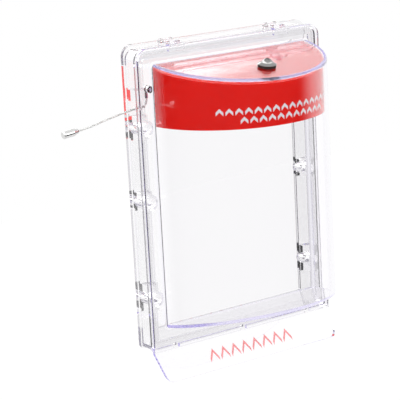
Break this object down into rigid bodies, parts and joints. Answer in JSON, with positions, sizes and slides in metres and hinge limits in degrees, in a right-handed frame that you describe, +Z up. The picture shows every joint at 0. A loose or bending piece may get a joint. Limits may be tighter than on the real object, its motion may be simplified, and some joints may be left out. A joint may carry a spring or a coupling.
{
  "type": "fire alarm protective cover",
  "caption": "Clear hinged lift-up cover with bowed front, wall frame, red warning sounder and wire tether for a wall call point",
  "frame": {"origin": "middle of the frame's rectangle on the wall plane", "axes": "+X right seen from the front, +Y into the wall, +Z up; the front faces -Y"},
  "size_m": [0.2172, 0.0845, 0.2404],
  "materials": {
    "clear_plastic": "clear polycarbonate, polished",
    "red_plastic": "red translucent moulding, glossy",
    "steel": "stainless steel, smooth",
    "wire_rope": "stainless wire rope",
    "rubber": "dark rubber, dull",
    "brass": "turned brass",
    "board": "green circuit board",
    "black_plastic": "black moulding",
    "winding": "enamelled copper winding",
    "battery_jacket": "printed steel jacket, plain"
  },
  "bodies": {
    "frame": {"wall_frame": "clear_plastic", "hinge_pin_left": "steel", "hinge_pin_right": "steel", "tether_cable": "wire_rope"},
    "cover": {"cover_shell": "clear_plastic", "sealing_washer": "rubber", "screw_washer": "steel", "retaining_screw": "steel", "threaded_insert": "brass", "sounder_housing": "red_plastic", "housing_back": "red_plastic", "housing_screws": "steel", "battery": "battery_jacket", "battery_contact_positive": "steel", "battery_contact_negative": "steel", "circuit_board": "board", "board_screws": "steel", "driver_chip": "black_plastic", "step_up_coil": "winding", "tilt_switch": "black_plastic", "sounder_capsule": "black_plastic", "sounder_ring": "black_plastic", "sounder_diaphragm": "brass", "tether_lead": "wire_rope", "tether_eyelet": "steel", "tether_screw": "steel"},
    "tether_stop": {"tether_ferrule": "steel"}
  },
  "joints": [
    {"name": "cover_hinge", "type": "hinge", "parent": "frame", "child": "cover", "pos_m": [0, -0.0055, 0.1096], "axis": [-1, 0, 0], "range_deg": [0, 85], "deforming": ["tether_lead"]},
    {"name": "tether_slide", "type": "slide", "parent": "frame", "child": "tether_stop", "axis": [0.9848, 0, 0.1734], "range_m": [0, 0.045], "deforming": ["tether_cable"]}
  ],
  "couplings": [
    {"joint": "tether_slide", "follows": "cover_hinge", "m_per_rad": 0.0303}
  ]
}
